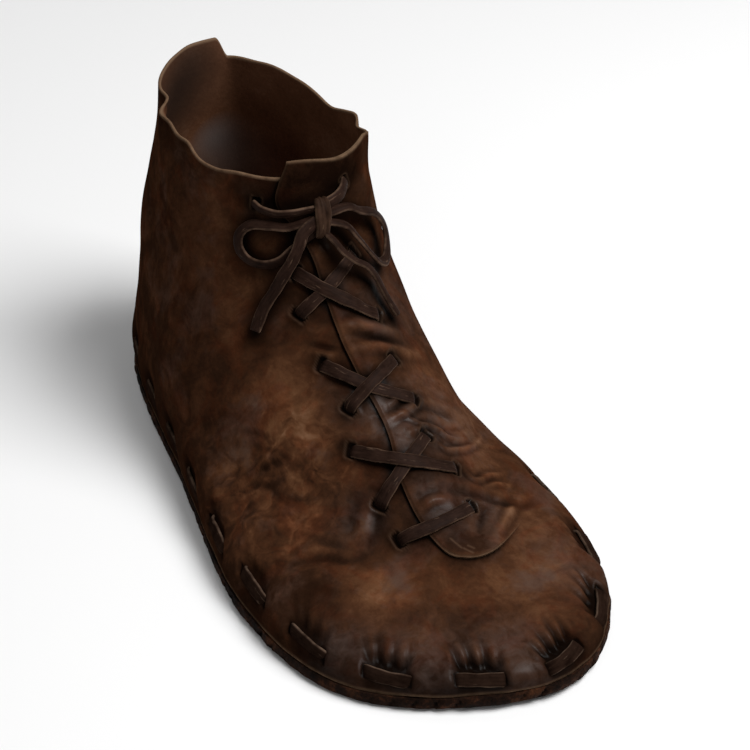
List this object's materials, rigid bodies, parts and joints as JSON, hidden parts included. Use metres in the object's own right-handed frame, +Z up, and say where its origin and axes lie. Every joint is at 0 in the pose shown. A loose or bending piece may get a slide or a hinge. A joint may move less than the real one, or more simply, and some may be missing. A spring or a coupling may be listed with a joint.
{
  "type": "laced leather ankle shoe",
  "caption": "Soft leather ankle shoe with a lapped front laced by a flat thong tied in a bow, and a flat sole held by thong stitches.",
  "frame": {"origin": "on the floor, under the middle of the shoe's box without the bow", "axes": "+Z up, -Y towards the toe, +Y towards the heel, -X towards the outer side of the foot"},
  "size_m": [0.1321, 0.2878, 0.1358],
  "materials": {
    "hide": "waxed brown hide, worn and mottled",
    "sole_hide": "dark thick hide, rough cut edge",
    "thong": "flat leather thong, grey brown",
    "lace": "flat leather thong, grey brown, scratched"
  },
  "bodies": {
    "root": {"upper": "hide", "sole": "sole_hide", "sole_stitch_01": "thong", "sole_stitch_02": "thong", "sole_stitch_03": "thong", "sole_stitch_04": "thong", "sole_stitch_05": "thong", "sole_stitch_06": "thong", "sole_stitch_07": "thong", "sole_stitch_08": "thong", "sole_stitch_09": "thong", "sole_stitch_10": "thong", "sole_stitch_11": "thong", "sole_stitch_12": "thong", "sole_stitch_13": "thong", "sole_stitch_14": "thong", "sole_stitch_15": "thong", "sole_stitch_16": "thong", "sole_stitch_17": "thong", "sole_stitch_18": "thong", "sole_stitch_19": "thong", "sole_stitch_20": "thong", "sole_stitch_21": "thong", "lace_cross_top": "lace", "lace_cross_middle": "lace", "lace_cross_low": "lace", "lace_bar": "lace", "lace_knot": "lace", "lace_run_outer": "lace", "lace_run_inner": "lace", "lace_loop_outer": "lace", "lace_loop_inner": "lace", "lace_end_outer": "lace", "lace_end_inner": "lace"}
  },
  "joints": []
}
